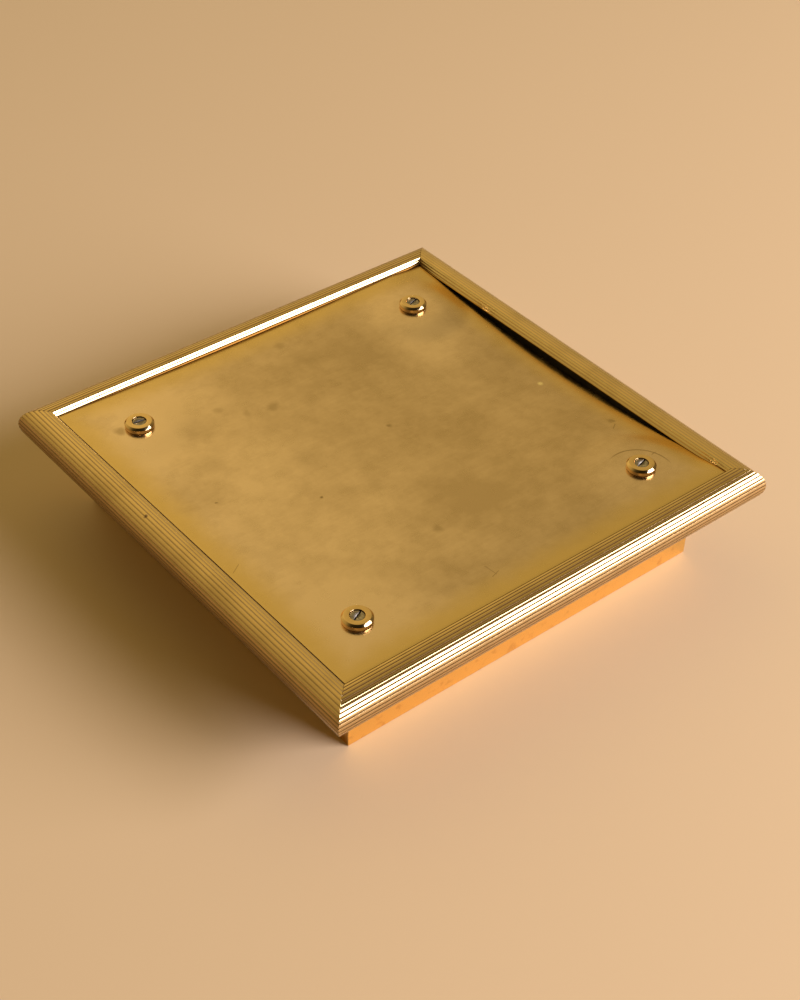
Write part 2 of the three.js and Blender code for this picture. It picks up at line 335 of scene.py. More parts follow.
def softened(corners):
    """A closed outline of (a, b, edge) corners, each rounded where its edge isn't 0, as (a, b) points."""
    points = []
    for i, (a, b, edge) in enumerate(corners):
        corner = Vector((a, b))
        if not edge:
            points.append(corner)
            continue
        before = Vector(corners[i - 1][:2]) - corner
        after = Vector(corners[(i + 1) % len(corners)][:2]) - corner
        start = corner + before.normalized() * edge
        end = corner + after.normalized() * edge
        for step in range(EDGE_STEPS + 1):
            share = step / EDGE_STEPS
            points.append(start.lerp(corner, share).lerp(corner.lerp(end, share), share))
    return [tuple(point) for point in points]


def outline_normals(outline):
    """Outward normals of a closed outline that runs clockwise, one for each point."""
    normals = []
    for i, point in enumerate(outline):
        before = (Vector(point) - Vector(outline[i - 1])).normalized()
        after = (Vector(outline[(i + 1) % len(outline)]) - Vector(point)).normalized()
        along = before + after
        normals.append(Vector((-along.y, along.x)).normalized())
    return normals


def mitred_bar(name, outline, turn):
    """A clockwise (u, z) outline run along one side of the square, with its ends cut to the corner mitres."""
    normals = outline_normals(outline)
    ends = [(-1, 0, MITRE_SOFTENING), (1, 0, MITRE_SOFTENING)]
    steps = [2 * i / BAR_STATIONS - 1 for i in range(BAR_STATIONS + 1)]
    stations = [ends[0], *((step, MITRE_SOFTENING, 0) for step in steps), ends[1]]
    spin = Matrix.Rotation(turn, 3, "Z")
    points = []
    for step, short, inset in stations:
        for (u, z), normal in zip(outline, normals):
            along = step * (u - MITRE_GAP / 2 - short)
            points.append(spin @ Vector((along, inset * normal.x - u, z - inset * normal.y)))
    count = len(outline)
    faces = [list(range(count)), list(range((len(stations) - 1) * count, len(stations) * count))]
    for ring in range(len(stations) - 1):
        for i in range(count):
            j = (i + 1) % count
            low, high = ring * count, (ring + 1) * count
            faces.append([low + i, low + j, high + j, high + i])
    return make_piece(name, points, faces)


def wave_depths(count):
    """Depth along a run of waves, one for each step: 0 on a top, 1 in a groove, where each wave starts."""
    from_tops = [2 * (i % REED_STEPS) / REED_STEPS - 1 for i in range(count * REED_STEPS)]
    return [abs(from_top) ** REED_POWER for from_top in from_tops]


def lip_run(lip_angle):
    """The reeds from the foot of the leaning lip up to the round, as (u, z) points."""
    foot = Vector((LIP_FOOT_U, LIP_FOOT_Z))
    top = Vector((LIP_U, ROUND_CENTRE_Z + ROUND_RADIUS * math.sin(lip_angle)))
    into_metal = Vector((top.y - foot.y, foot.x - top.x)).normalized()
    rise = LIP_REED_RISE * (top - foot).length / LIP_REEDS
    depths = wave_depths(LIP_REEDS)
    return [
        tuple(foot.lerp(top, i / len(depths)) + rise * depth * into_metal)
        for i, depth in enumerate(depths)
    ]


def reed_run(start, end, count):
    """One run of equal reeds round the moulding, as (u, z) points."""
    reed_angle = (end - start) / count
    rise = REED_RISE * abs(reed_angle) * ROUND_RADIUS
    points = []
    for i, depth in enumerate(wave_depths(count)):
        angle = start + i / REED_STEPS * reed_angle
        radius = ROUND_RADIUS - rise * depth
        points.append((ROUND_CENTRE_U + radius * math.cos(angle), ROUND_CENTRE_Z + radius * math.sin(angle)))
    return points


def moulding_outline():
    """The hollow outline, clockwise from the lip's foot, and how deep in a groove each point lies."""
    hollow_radius = ROUND_RADIUS - MOULDING_SHEET
    lip_angle = math.acos((LIP_U - ROUND_CENTRE_U) / ROUND_RADIUS)
    hollow_angle = math.acos((LIP_U + MOULDING_SHEET - ROUND_CENTRE_U) / hollow_radius)
    flange_top_z = ROUND_CENTRE_Z - hollow_radius
    reeds = reed_run(lip_angle, FINE_END, FINE_REEDS) + reed_run(FINE_END, BROAD_END, BROAD_REEDS)
    flange = [
        (ROUND_CENTRE_U, flange_top_z - MOULDING_SHEET),
        (FLANGE_U, flange_top_z - MOULDING_SHEET),
        (FLANGE_U, flange_top_z),
    ]
    hollow = []
    for i in range(HOLLOW_STEPS + 1):
        angle = -math.pi / 2 + (hollow_angle + math.pi / 2) * i / HOLLOW_STEPS
        hollow.append((
            ROUND_CENTRE_U + hollow_radius * math.cos(angle),
            ROUND_CENTRE_Z + hollow_radius * math.sin(angle),
        ))
    inside = [*flange, *hollow, (LIP_FOOT_U + LIP_FOOT_WIDTH, LIP_FOOT_Z)]
    outline = [*lip_run(lip_angle), *reeds, *inside]
    grooves = [*wave_depths(WAVES), *(0 for _ in inside)]
    return outline, grooves


def store(piece, name, values):
    piece.data.attributes.new(name, "FLOAT", "POINT").data.foreach_set("value", values)


def add_reed_attributes(piece, outline, grooves, side):
    """Stores what the finish needs at each point: its depth in a groove, how much dirt and painted shade its
    side gets in the grooves and on its lower half, and its place.
    """
    count = len(outline)
    points = piece.data.vertices
    store(piece, "groove", [grooves[i % count] for i in range(len(points))])
    store(piece, "dirt_and_shade_strength", [DIRT_AND_SHADE_BY_SIDE[side]] * len(points))
    store(piece, "lower_shade", [LOWER_SHADE[side]] * len(points))
    store(piece, "lip", [float(i % count < LIP_REEDS * REED_STEPS) for i in range(len(points))])
    angles = [math.atan2(z - ROUND_CENTRE_Z, u - ROUND_CENTRE_U) for u, z in outline]
    turn = SIDES[side]
    unspin = Matrix.Rotation(-turn, 3, "Z")
    places = [
        ((unspin @ point.co).x, angles[i % count] * ROUND_RADIUS, turn)
        for i, point in enumerate(points)
    ]
    flow = piece.data.attributes.new("flow", "FLOAT_VECTOR", "POINT")
    flow.data.foreach_set("vector", [part for where in places for part in where])


def make_moulding(side, turn, outside, inside):
    outline, grooves = moulding_outline()
    piece = mitred_bar(f"reeded_moulding_{side}", outline, turn)
    add_reed_attributes(piece, outline, grooves, side)
    dress(piece, f"moulding_{side}", "moulding_brass", outside, inside)
    # the hollow's faces take the second material, near-black as painted shade
    hollow_start = WAVES * REED_STEPS
    for face in piece.data.polygons[BAR_ENDS:]:
        face.material_index = int((face.index - BAR_ENDS) % len(outline) >= hollow_start)


def make_wall(side, turn, material):
    outline = softened([
        (WALL_INNER_U, 0, WALL_EDGE),
        (WALL_INNER_U, WALL_TOP_Z, 0),
        (WALL_OUTER_U, WALL_TOP_Z, 0),
        (WALL_OUTER_U, 0, WALL_EDGE),
    ])
    piece = mitred_bar(f"polished_wall_{side}", outline, turn)
    dress(piece, f"wall_{side}", "wall_brass", material)


def hump(offset, half):
    return max(0, 1 - (offset / half) ** 2) ** 2


def plate_drop(x, y):
    """How far the base plate lies below its flat place at a point: its bend and its shallow dents."""
    from_left = (x - PLATE_LOW.x) / (PLATE_HIGH.x - PLATE_LOW.x)
    from_front = (y - PLATE_LOW.y) / (PLATE_HIGH.y - PLATE_LOW.y)
    to_edge = smoothstep(x, FOOT_SPACING / 2, PLATE_HIGH.x)
    half = RIGHT_BOW_HALF_AT_FEET + (RIGHT_BOW_HALF_AT_EDGE - RIGHT_BOW_HALF_AT_FEET) * to_edge
    fade = smoothstep(y, PLATE_LOW.y, PLATE_LOW.y + RIGHT_BOW_FADE)
    right_bow = RIGHT_BOW * from_left ** RIGHT_BOW_POWER * hump(y - RIGHT_BOW_Y, half) * fade
    back_bow = BACK_BOW * from_front ** 2 * hump(x, BACK_BOW_HALF)
    nearest = min(math.hypot(x - foot.x, y - foot.y) for foot in FEET.values())
    dents = sum(depth * noise.noise(Vector((x, y, width)) / width) for width, depth in DENTS)
    free = smoothstep(nearest, HOLD_RADIUS, HOLD_REACH)
    return (right_bow + back_bow) * free + dents * smoothstep(nearest, FOOT_RADIUS, HOLD_RADIUS)


def plate_border():
    """Numbers of the plate's grid points along its four edges, in order from the front left corner."""
    row = PLATE_CELLS + 1
    border = list(range(PLATE_CELLS))
    border += [i * row + PLATE_CELLS for i in range(PLATE_CELLS)]
    border += [row * row - 1 - i for i in range(PLATE_CELLS)]
    border += [(PLATE_CELLS - i) * row for i in range(PLATE_CELLS)]
    return border


def plate_levels():
    """How far out and how far down each row of points lies round the plate's edge, from the top on."""
    turns = [math.pi / 2 * i / EDGE_STEPS for i in range(1, EDGE_STEPS + 1)]
    levels = [(math.sin(turn), PLATE_EDGE * (1 - math.cos(turn))) for turn in turns]
    return levels + [(out, PLATE_THICKNESS - depth) for out, depth in reversed(levels)]


def drill_plate(plate):
    """Makes the four screw holes."""
    hole = [
        (0, -2 * PLATE_THICKNESS),
        (CLEARANCE_RADIUS, -2 * PLATE_THICKNESS),
        (CLEARANCE_RADIUS, PLATE_THICKNESS),
        (0, PLATE_THICKNESS),
    ]
    for foot in FEET.values():
        carve(plate, turned("drill", hole, Vector((foot.x, foot.y, PLATE_TOP_Z))))


def make_plate(material):
    """A thin square sheet with softened edges, bent and dented, drilled for the screws."""
    edge = Vector((PLATE_EDGE, PLATE_EDGE, 0))
    low, high = PLATE_LOW + edge, PLATE_HIGH - edge
    grid = [low.lerp(high, i / PLATE_CELLS) for i in range(PLATE_CELLS + 1)]
    across = [point.x for point in grid]
    along = [point.y for point in grid]
    row = PLATE_CELLS + 1
    top = [(x, y, PLATE_TOP_Z - plate_drop(x, y)) for y in along for x in across]
    bottom = [(x, y, z - PLATE_THICKNESS) for x, y, z in top]
    border = plate_border()
    points = [*top, *bottom]
    faces = []
    for i in range(PLATE_CELLS):
        for j in range(PLATE_CELLS):
            quad = [i * row + j, i * row + j + 1, (i + 1) * row + j + 1, (i + 1) * row + j]
            faces.append(quad)
            faces.append([corner + len(top) for corner in reversed(quad)])
    rings = [border]
    for out, depth in plate_levels():
        rings.append(range(len(points), len(points) + len(border)))
        for i in border:
            x, y, z = top[i]
            grow_x = PLATE_EDGE * out * ((x == across[-1]) - (x == across[0]))
            grow_y = PLATE_EDGE * out * ((y == along[-1]) - (y == along[0]))
            points.append((x + grow_x, y + grow_y, z - depth))
    rings.append([i + len(top) for i in border])
    for upper, lower in zip(rings, rings[1:]):
        for i in range(len(border)):
            j = (i + 1) % len(border)
            faces.append([upper[i], upper[j], lower[j], lower[i]])
    piece = make_piece("stained_base_plate", points, faces)
    drill_plate(piece)
    dress(piece, "base_plate", "plate_brass", material)
    return piece


def turned(name, outline, centre):
    """A closed outline of (radius, z) points turned about an upright axis through the centre."""
    points, faces = [], []
    count = len(outline)
    for side in range(TURNED_SIDES):
        angle = 2 * math.pi * side / TURNED_SIDES
        for radius, z in outline:
            x = centre.x + radius * math.cos(angle)
            y = centre.y + radius * math.sin(angle)
            points.append((x, y, centre.z + z))
    for side in range(TURNED_SIDES):
        here, there = side * count, (side + 1) % TURNED_SIDES * count
        for i in range(count):
            j = (i + 1) % count
            if outline[i][0] or outline[j][0]:
                faces.append([here + i, here + j, there + j, there + i])
    piece = make_piece(name, points, faces)
    shape = bmesh.new()
    shape.from_mesh(piece.data)
    bmesh.ops.remove_doubles(shape, verts=shape.verts, dist=WELD_DISTANCE)
    bmesh.ops.recalc_face_normals(shape, faces=shape.faces)
    shape.to_mesh(piece.data)
    shape.free()
    return piece


def carve(piece, cutter):
    """Cuts one mesh out of another and removes the cutter."""
    cut = piece.modifiers.new("cut", "BOOLEAN")
    cut.object = cutter
    cut.operation = "DIFFERENCE"
    graph = bpy.context.evaluated_depsgraph_get()
    piece.data = bpy.data.meshes.new_from_object(piece.evaluated_get(graph))
    piece.modifiers.clear()
    bpy.data.objects.remove(cutter)


def make_foot(corner, material):
    centre = FEET[corner]
    counterbore_z = FOOT_HIGH.z - COUNTERBORE_DEPTH
    outline = softened([
        (CLEARANCE_RADIUS, FOOT_LOW.z, 0),
        (FOOT_RADIUS, FOOT_LOW.z, FOOT_EDGE),
        (FOOT_RADIUS, FOOT_HIGH.z - FOOT_CHAMFER, FOOT_EDGE),
        (FOOT_RADIUS - FOOT_CHAMFER, FOOT_HIGH.z, FOOT_EDGE),
        (COUNTERBORE_RADIUS, FOOT_HIGH.z, FOOT_EDGE),
        (COUNTERBORE_RADIUS, counterbore_z, 0),
        (CLEARANCE_RADIUS, counterbore_z, 0),
    ])
    piece = turned(f"turned_foot_{corner}", outline, Vector((centre.x, centre.y, 0)))
    dress(piece, f"foot_{corner}", "foot_brass", material)


def make_screw(corner, material, slot_material):
    """A cheese-head screw with a rounded top edge, its slot cut across the head."""
    centre = FEET[corner]
    middle = Vector((centre.x, centre.y, 0))
    head_low_z = SCREW_HIGH.z - HEAD_HEIGHT
    outline = softened([
        (0, SCREW_LOW.z, 0),
        (SHANK_RADIUS, SCREW_LOW.z, HEAD_EDGE),
        (SHANK_RADIUS, head_low_z, 0),
        (HEAD_RADIUS, head_low_z, 0),
        (HEAD_RADIUS, SCREW_HIGH.z, HEAD_EDGE),
        (0, SCREW_HIGH.z, 0),
    ])
    piece = turned(f"slotted_screw_{corner}", outline, middle)
    half_length, half_width = 2 * HEAD_RADIUS, SLOT_WIDTH / 2
    low, high = SCREW_HIGH.z - SLOT_DEPTH, SCREW_HIGH.z + SLOT_DEPTH
    spin = Matrix.Rotation(math.radians(SLOT_DEGREES[corner]), 3, "Z")
    ends = [
        (-half_length, -half_width),
        (half_length, -half_width),
        (half_length, half_width),
        (-half_length, half_width),
    ]
    points = [spin @ Vector((x, y, z)) + middle for z in (low, high) for x, y in ends]
    sides = [[i, (i + 1) % 4, (i + 1) % 4 + 4, i + 4] for i in range(4)]
    faces = [[0, 1, 2, 3], [4, 5, 6, 7], *sides]
    carve(piece, make_piece("slot_cutter", points, faces))
    dress(piece, f"screw_{corner}", "screw_steel", material, slot_material)
    # the slot's faces take the near-black slot material: dirt and painted shade
    for face in piece.data.polygons:
        face_place = spin.inverted() @ (face.center - middle)
        in_width = abs(face_place.y) < half_width + SLOT_MARGIN
        in_depth = low - SLOT_MARGIN < face_place.z < SCREW_HIGH.z - SLOT_MARGIN
        in_head = abs(face_place.x) < HEAD_RADIUS - SLOT_MARGIN
        face.material_index = int(in_width and in_depth and in_head)


# Materials

def new_material(name, constants=None):
    """A new material, its node tree and its shader: a metal, unless the sockets' constants say otherwise."""
    material = bpy.data.materials.new(name)
    material.use_nodes = True
    shader = material.node_tree.nodes["Principled BSDF"]
    shader.inputs["Metallic"].default_value = 1
    for socket, value in (constants or {}).items():
        shader.inputs[socket].default_value = value
    return material, material.node_tree, shader


def add(tree, kind, inputs=None, **settings):
    """A node with its settings, and its inputs linked or set."""
    node = tree.nodes.new(kind)
    for name, value in settings.items():
        setattr(node, name, value)
    for key, value in (inputs or {}).items():
        if isinstance(value, bpy.types.NodeSocket):
            tree.links.new(value, node.inputs[key])
        else:
            node.inputs[key].default_value = value
    return node


def place(tree):
    return add(tree, "ShaderNodeTexCoord").outputs["Object"]


def stretched(tree, vector, x, y, z, turn=0):
    mapping = {"Vector": vector, "Scale": (x, y, z), "Rotation": (0, 0, turn)}
    return add(tree, "ShaderNodeMapping", mapping).outputs[0]


def cloud(tree, vector, width, detail=4, roughness=0.55):
    """Soft noise, 0 to 1, with features of about the given width."""
    inputs = {"Vector": vector, "Scale": 1 / width, "Detail": detail, "Roughness": roughness}
    return add(tree, "ShaderNodeTexNoise", inputs).outputs[0]


def ramp(tree, value, low, high, at_low=0.0, at_high=1.0):
    inputs = {0: value, 1: low, 2: high, 3: at_low, 4: at_high}
    return add(tree, "ShaderNodeMapRange", inputs, interpolation_type="SMOOTHSTEP").outputs[0]


def compute(tree, operation, first, second):
    return add(tree, "ShaderNodeMath", {0: first, 1: second}, operation=operation).outputs[0]


def mix(tree, share, first, second):
    return add(tree, "ShaderNodeMix", {0: share, 6: first, 7: second}, data_type="RGBA").outputs[2]


def attribute(tree, name, output):
    return add(tree, "ShaderNodeAttribute", attribute_name=name).outputs[output]


def shift(tree, operation, first, second):
    return add(tree, "ShaderNodeVectorMath", {0: first, 1: second}, operation=operation).outputs[0]


def scaled(tree, vector, size):
    return add(tree, "ShaderNodeVectorMath", {0: vector, "Scale": size}, operation="SCALE").outputs[0]


def unit(tree, vector):
    return add(tree, "ShaderNodeVectorMath", {0: vector}, operation="NORMALIZE").outputs[0]


def measure(tree, operation, first, second=(0, 0, 0)):
    return add(tree, "ShaderNodeVectorMath", {0: first, 1: second}, operation=operation).outputs["Value"]


def bump(tree, shader, height, distance, strength):
    inputs = {"Strength": strength, "Distance": distance, "Height": height}
    tree.links.new(add(tree, "ShaderNodeBump", inputs).outputs[0], shader.inputs["Normal"])


def spot(tree, flat, x, y, radius, strength):
    """A soft round mark: its strength in the middle, 0 from the radius on."""
    away = measure(tree, "DISTANCE", flat, (x * MM, y * MM, 0))
    return ramp(tree, away, SPOT_CORE * radius * MM, radius * MM, strength, 0)


def stroke(tree, flat, from_x, from_y, to_x, to_y, width):
    """A straight scratch between two places."""
    start = Vector((from_x, from_y, 0)) * MM
    run = Vector((to_x - from_x, to_y - from_y, 0)) * MM
    here = shift(tree, "SUBTRACT", flat, start)
    share = add(tree, "ShaderNodeClamp", {0: measure(tree, "DOT_PRODUCT", here, run / run.length_squared)})
    away = measure(tree, "DISTANCE", here, scaled(tree, run, share.outputs[0]))
    return ramp(tree, away, LINE_CORE * width * MM, LINE_END * width * MM, SCRATCH_STRENGTH, 0)


def arc(tree, flat):
    """The scratch that runs part of the way round one foot."""
    here = shift(tree, "SUBTRACT", flat, (ARC_CENTRE[0] * MM, ARC_CENTRE[1] * MM, 0))
    off = compute(tree, "SUBTRACT", measure(tree, "LENGTH", here), ARC_RADIUS * MM)
    away = compute(tree, "ABSOLUTE", off, 0)
    line = ramp(tree, away, LINE_CORE * ARC_WIDTH * MM, LINE_END * ARC_WIDTH * MM, ARC_STRENGTH, 0)
    aim = (math.cos(ARC_TOWARDS), math.sin(ARC_TOWARDS), 0)
    turn = measure(tree, "DOT_PRODUCT", unit(tree, here), aim)
    ends = ramp(tree, turn, math.cos(ARC_HALF), math.cos(ARC_HALF / 2))
    return compute(tree, "MULTIPLY", line, ends)


def strongest(tree, marks):
    total = marks[0]
    for mark in marks[1:]:
        total = compute(tree, "MAXIMUM", total, mark)
    return total


def edge_band(tree, value, low, high):
    """1 at both ends of a range, falling to 0 a band's width inside it."""
    from_middle = compute(tree, "ABSOLUTE", compute(tree, "SUBTRACT", value, (low + high) / 2), 0)
    return ramp(tree, from_middle, (high - low) / 2 - EDGE_BAND, (high - low) / 2)


def moulding_brass():
    """Polished brass with streaks along the reeds; dirt and painted shade in the grooves, painted light on
    the lip, and painted shade at the lip's foot and on the lower half.
    """
    material, tree, shader = new_material("moulding_brass", {"Specular IOR Level": DIRT_AND_SHADE_GLOSS})
    flow = attribute(tree, "flow", "Vector")
    groove = attribute(tree, "groove", "Fac")
    lip = attribute(tree, "lip", "Fac")
    dirt_and_shade_strength = attribute(tree, "dirt_and_shade_strength", "Fac")
    lower_shade = attribute(tree, "lower_shade", "Fac")
    streaks = cloud(tree, stretched(tree, flow, STREAK_SQUEEZE, 1, 1), STREAK_WIDTH)
    blotches = cloud(tree, flow, BLOTCH_WIDTH)
    # painted light: the lip is given brighter brass
    colour = mix(tree, lip, BRASS, LIP_PAINTED_LIGHT_BRASS)
    blotched = ramp(tree, blotches, *BLOTCH_RANGE, 0, BLOTCH_STRENGTH)
    colour = mix(tree, blotched, colour, BRASS_GRIME_AND_SHADE)
    height = add(tree, "ShaderNodeSeparateXYZ", {0: place(tree)}).outputs["Z"]
    # painted shade on the lip's foot near the plate, scaled by its side's strength
    lip_foot_shade = compute(tree, "MULTIPLY", lip, ramp(tree, height, LIP_SHADED_Z, LIP_UNSHADED_Z, 1, 0))
    colour = mix(tree, compute(tree, "MULTIPLY", lip_foot_shade, dirt_and_shade_strength), colour, LIP_FOOT_SHADE)
    # painted shade: the lower half of each side made darker, most on the left
    around = add(tree, "ShaderNodeSeparateXYZ", {0: flow}).outputs["Y"]
    low = ramp(tree, around, LOWER_SHADE_FULL, LOWER_SHADE_FROM, 1, 0)
    colour = mix(tree, compute(tree, "MULTIPLY", low, lower_shade), colour, BRASS_GRIME_AND_SHADE)
    level = shift(tree, "MULTIPLY", place(tree), (1, 1, 0))
    # dirt and painted shade in the grooves: a dull brown coat, its strength set for each side
    dirt_and_shade = compute(tree, "MULTIPLY", ramp(tree, groove, DIRT_AND_SHADE_FROM, DIRT_AND_SHADE_FULL), dirt_and_shade_strength)
    dirt_and_shade = compute(tree, "MAXIMUM", dirt_and_shade, spot(tree, level, *MOULDING_NICK))
    tree.links.new(mix(tree, dirt_and_shade, colour, GROOVE_DIRT_AND_SHADE), shader.inputs["Base Color"])
    tree.links.new(compute(tree, "SUBTRACT", 1.0, dirt_and_shade), shader.inputs["Metallic"])
    polish = ramp(tree, streaks, *STREAK_RANGE, *MOULDING_ROUGHNESS)
    rough = compute(tree, "MAXIMUM", polish, compute(tree, "MULTIPLY", dirt_and_shade, DIRT_AND_SHADE_ROUGHNESS))
    tree.links.new(rough, shader.inputs["Roughness"])
    bump(tree, shader, streaks, STREAK_HEIGHT, STREAK_STRENGTH)
    return material


def inside_shade_brass():
    """Painted shade: near-black metal inside the mouldings, with darker stains."""
    material, tree, shader = new_material("inside_shade_brass")
    stains = cloud(tree, place(tree), INSIDE_STAIN_WIDTH)
    tree.links.new(mix(tree, stains, INSIDE_SHADE_BRASS, STEEL_DARK), shader.inputs["Base Color"])
    tree.links.new(ramp(tree, stains, *NOISE_RANGE, *INSIDE_ROUGHNESS), shader.inputs["Roughness"])
    return material


def wall_brass():
    """Polished plain brass with faint rolling lines and darker spots."""
    material, tree, shader = new_material("wall_brass")
    where = place(tree)
    squeezed = stretched(tree, where, WALL_LINE_SQUEEZE, WALL_LINE_SQUEEZE, 1)
    lines = cloud(tree, squeezed, WALL_LINE_WIDTH)
    spots = cloud(tree, where, WALL_SPOT_WIDTH, detail=6)
    stained = ramp(tree, spots, *WALL_SPOT_RANGE, 0, WALL_SPOT_STRENGTH)
    tree.links.new(mix(tree, stained, WALL_BRASS, WALL_STAIN), shader.inputs["Base Color"])
    tree.links.new(ramp(tree, lines, *NOISE_RANGE, *WALL_ROUGHNESS), shader.inputs["Roughness"])
    bump(tree, shader, lines, WALL_LINE_HEIGHT, WALL_LINE_STRENGTH)
    return material


def plate_brass():
    """Satin brass, blotchy with age: lighter at the left and round the feet, golden at its edges, marked."""
    material, tree, shader = new_material("plate_brass", {"Specular Tint": GRAZING_BRASS})
    where = place(tree)
    broad = cloud(tree, where, BROAD_BLOTCH_WIDTH, detail=5)
    fine = cloud(tree, where, FINE_BLOTCH_WIDTH, detail=6, roughness=0.65)
    squeezed = stretched(tree, where, BRUSHED_SQUEEZE, 1, 1, BRUSHED_TURN)
    brushed = cloud(tree, squeezed, BRUSHED_WIDTH, detail=5)
    level = shift(tree, "MULTIPLY", where, (1, 1, 0))
    wander = add(tree, "ShaderNodeTexNoise", {"Vector": where, "Scale": 1 / RAGGED_WIDTH, "Detail": 3.0})
    wander = shift(tree, "SUBTRACT", wander.outputs["Color"], NOISE_MIDDLE)
    ragged = shift(tree, "ADD", where, scaled(tree, wander, RAGGED_REACH))
    ragged = shift(tree, "MULTIPLY", ragged, (1, 1, 0))
    parts = add(tree, "ShaderNodeSeparateXYZ", {0: ragged})

    patina = ramp(tree, parts.outputs["X"], PATINA_PALE_X, PATINA_DULL_X, *PATINA_LEVELS)
    swings = (
        (broad, BROAD_BLOTCH_STRENGTH),
        (fine, FINE_BLOTCH_STRENGTH),
        (brushed, BRUSHED_STRENGTH),
    )
    for marks, strength in swings:
        patina = compute(tree, "ADD", patina, ramp(tree, marks, *NOISE_RANGE, -strength, strength))
    halos = []
    for foot in FEET.values():
        halos.append(spot(tree, ragged, foot.x / MM, foot.y / MM, HALO_RADIUS, HALO_STRENGTH))
    halos += [spot(tree, ragged, *patch) for patch in PALE_PATCHES]
    dull = [spot(tree, ragged, *patch) for patch in DULL_PATCHES]
    patina = compute(tree, "SUBTRACT", patina, strongest(tree, halos))
    patina = compute(tree, "ADD", patina, strongest(tree, dull))
    colour = mix(tree, patina, PLATE_BRASS, PLATE_PATINA)

    bands = [
        edge_band(tree, parts.outputs["X"], PLATE_LOW.x, PLATE_HIGH.x),
        edge_band(tree, parts.outputs["Y"], PLATE_LOW.y, PLATE_HIGH.y),
    ]
    colour = mix(tree, strongest(tree, bands), colour, PLATE_GOLD)
    marks = [spot(tree, ragged, *smudge) for smudge in SMUDGES]
    marks += [stroke(tree, level, *scratch) for scratch in SCRATCHES]
    marks.append(arc(tree, level))
    colour = mix(tree, strongest(tree, marks), colour, PLATE_STAIN)
    colour = mix(tree, spot(tree, level, *NICK), colour, PLATE_NICK)
    tree.links.new(colour, shader.inputs["Base Color"])
    tree.links.new(ramp(tree, fine, *NOISE_RANGE, *PLATE_ROUGHNESS), shader.inputs["Roughness"])
    bump(tree, shader, brushed, BRUSHED_HEIGHT, BRUSHED_BUMP)
    return material


def foot_brass():
    """Bright turned brass, faintly spotted."""
    material, tree, shader = new_material("foot_brass")
    spots = cloud(tree, place(tree), FOOT_SPOT_WIDTH, detail=5)
    grimy = ramp(tree, spots, *FOOT_SPOT_RANGE, 0, FOOT_SPOT_STRENGTH)
    tree.links.new(mix(tree, grimy, FOOT_BRASS, BRASS_GRIME_AND_SHADE), shader.inputs["Base Color"])
    tree.links.new(ramp(tree, spots, *NOISE_RANGE, *FOOT_ROUGHNESS), shader.inputs["Roughness"])
    return material


def screw_steel():
    """Worn grey steel, darker in patches."""
    material, tree, shader = new_material("screw_steel")
    spots = cloud(tree, place(tree), STEEL_SPOT_WIDTH, detail=5)
    worn = ramp(tree, spots, *STEEL_SPOT_RANGE)
    tree.links.new(mix(tree, worn, STEEL, STEEL_DARK), shader.inputs["Base Color"])
    tree.links.new(ramp(tree, spots, *NOISE_RANGE, *STEEL_ROUGHNESS), shader.inputs["Roughness"])
    return material


def slot_dirt_and_shade():
    """Dirt and painted shade in the screws' slots."""
    constants = {"Metallic": 0, "Roughness": SLOT_ROUGHNESS, "Base Color": SLOT_DIRT_AND_SHADE}
    return new_material("slot_dirt_and_shade", constants)[0]


def satin_brass(name, colour, width):
    """Dull brass of the pieces inside the tray, lightly mottled."""
    material, tree, shader = new_material(name)
    spots = cloud(tree, place(tree), width, detail=5)
    grimy = ramp(tree, spots, *SATIN_SPOT_RANGE, 0, SATIN_SPOT_STRENGTH)
    tree.links.new(mix(tree, grimy, colour, BRASS_GRIME_AND_SHADE), shader.inputs["Base Color"])
    tree.links.new(ramp(tree, spots, *NOISE_RANGE, *SATIN_ROUGHNESS), shader.inputs["Roughness"])
    return material


# Stage

def make_floor():
    corners = [(-1, -1), (1, -1), (1, 1), (-1, 1)]
    points = [(x * FLOOR_HALF, y * FLOOR_HALF, -FLOOR_DROP) for x, y in corners]
    floor = make_piece("floor", points, [[0, 1, 2, 3]])
    constants = {"Metallic": 0, "Roughness": FLOOR_ROUGHNESS, "Base Color": FLOOR_COLOUR}
    floor.data.materials.append(new_material("floor", constants)[0])


def make_lamp(name, towards, distance, width, height, radiance, colour):
    """A flat rectangular lamp that faces the tray."""
    light = bpy.data.lights.new(name, "AREA")
    light.shape = "RECTANGLE"
    light.size = width
    light.size_y = height
    light.energy = radiance * math.pi * width * height
    light.color = colour
    lamp = bpy.data.objects.new(name, light)
    lamp.location = towards * distance
    lamp.rotation_euler = towards.to_track_quat("Z", "Y").to_euler()
    bpy.context.scene.collection.objects.link(lamp)
    return lamp


def link_light(lamp, piece, state):
    """Lets the lamp light only the piece (INCLUDE), or all but the piece (EXCLUDE)."""
    lit = bpy.data.collections.new(f"{lamp.name}_lit")
    lit.objects.link(piece)
    lit.collection_objects[0].light_linking.link_state = state
    lamp.light_linking.receiver_collection = lit


def make_lamps(plate):
    """The window, and the dim broad lamps that light the plate instead of it.

    The plate would mirror the window and turn plain white in views from the back.
    """
    size = WINDOW_WIDTH, WINDOW_HEIGHT
    window = make_lamp("window", WINDOW_TOWARDS, WINDOW_DISTANCE, *size, WINDOW_RADIANCE, WINDOW_COLOUR)
    link_light(window, plate, "EXCLUDE")
    size = PLATE_LAMP_WIDTH, PLATE_LAMP_HEIGHT
    for side, (towards, radiance) in PLATE_LAMPS.items():
        name = f"plate_lamp_{side}"
        lamp = make_lamp(name, towards, PLATE_LAMP_DISTANCE, *size, radiance, PLATE_LAMP_COLOUR)
        link_light(lamp, plate, "INCLUDE")


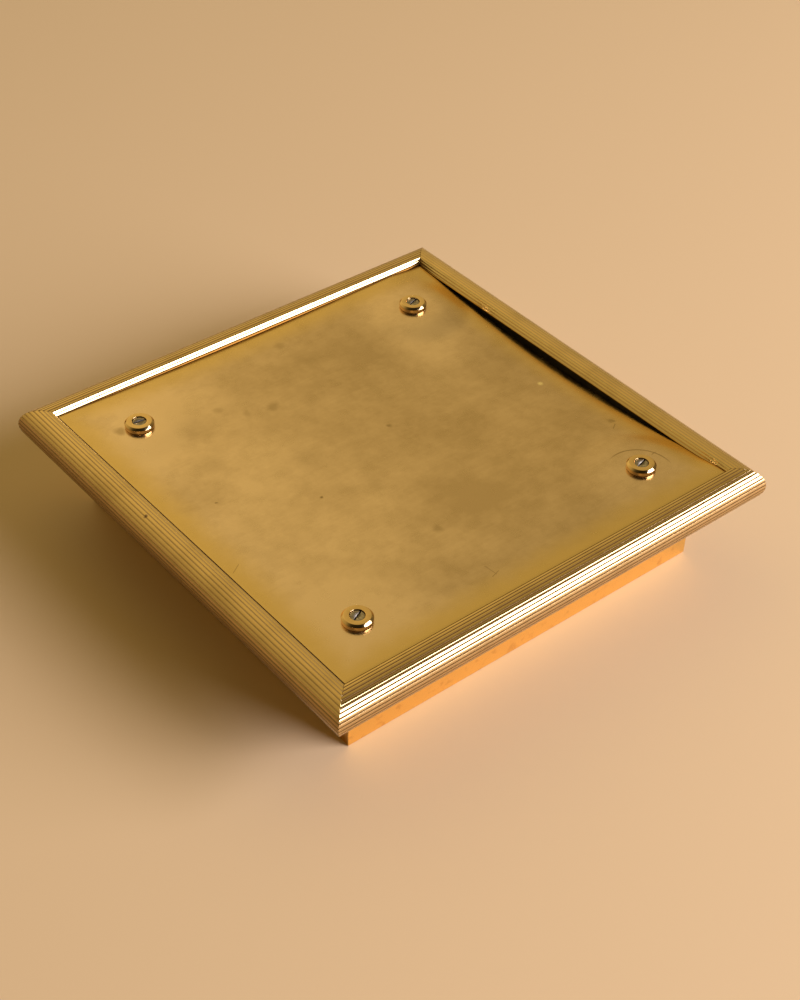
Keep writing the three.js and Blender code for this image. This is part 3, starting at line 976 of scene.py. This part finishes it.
def make_room():
    """Soft room light: warm, brighter to one side, with a dark patch on the camera's side."""
    world = bpy.data.worlds.new("room")
    world.use_nodes = True
    bpy.context.scene.world = world
    tree = world.node_tree
    towards = add(tree, "ShaderNodeTexCoord").outputs["Generated"]
    bright = measure(tree, "DOT_PRODUCT", towards, ROOM_BRIGHT_TOWARDS)
    dark = measure(tree, "DOT_PRODUCT", towards, ROOM_DARK_TOWARDS)
    share = add(tree, "ShaderNodeMapRange", {0: bright, 1: -1.0, 2: 1.0})
    levels = add(tree, "ShaderNodeValToRGB", {0: share.outputs[0]})
    stops = levels.color_ramp.elements
    given = len(stops)
    for i, (towards_bright, level) in enumerate(ROOM_LEVELS):
        position = (towards_bright + 1) / 2
        stop = stops[i] if i < given else stops.new(position)
        stop.position = position
        stop.color = (*(level * part for part in ROOM_TINT), 1)
    patch = ramp(tree, dark, ROOM_DARK_FROM, ROOM_DARK_FULL, 1, ROOM_DARK_LEVEL)
    background = tree.nodes["Background"]
    tree.links.new(levels.outputs[0], background.inputs["Color"])
    tree.links.new(patch, background.inputs["Strength"])


def make_camera():
    across = math.cos(CAMERA_ELEVATION)
    back = Vector((
        math.sin(CAMERA_AZIMUTH) * across,
        -math.cos(CAMERA_AZIMUTH) * across,
        math.sin(CAMERA_ELEVATION),
    ))
    right = Vector((math.cos(CAMERA_AZIMUTH), math.sin(CAMERA_AZIMUTH), 0))
    axes = Matrix((right, back.cross(right), back)).transposed()
    camera = bpy.data.objects.new("camera", bpy.data.cameras.new("camera"))
    camera.data.lens = CAMERA_LENS
    turn = axes @ Matrix.Rotation(CAMERA_ROLL, 3, "Z")
    camera.matrix_world = Matrix.LocRotScale(CAMERA_AIM + back * CAMERA_DISTANCE, turn, None)
    bpy.context.scene.collection.objects.link(camera)
    bpy.context.scene.camera = camera


# Assembly

make_camera()
make_room()
make_floor()

reeded, hollow, plain = moulding_brass(), inside_shade_brass(), wall_brass()
for side, turn in SIDES.items():
    make_moulding(side, turn, reeded, hollow)
    make_wall(side, turn, plain)
make_lamps(make_plate(plate_brass()))
bright, steel, dirt_and_shade = foot_brass(), screw_steel(), slot_dirt_and_shade()
for corner in FEET:
    make_foot(corner, bright)
    make_screw(corner, steel, dirt_and_shade)
floor_finish = satin_brass("floor_brass", FLOOR_BRASS, TRAY_FLOOR_SPOT_WIDTH)
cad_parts["tray_floor"].material_slots[0].material = floor_finish
boss_finish = satin_brass("boss_brass", BOSS_BRASS, BOSS_SPOT_WIDTH)
for corner in FEET:
    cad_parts[f"boss_{corner}"].material_slots[0].material = boss_finish

bpy.context.scene.view_settings.view_transform = "Standard"
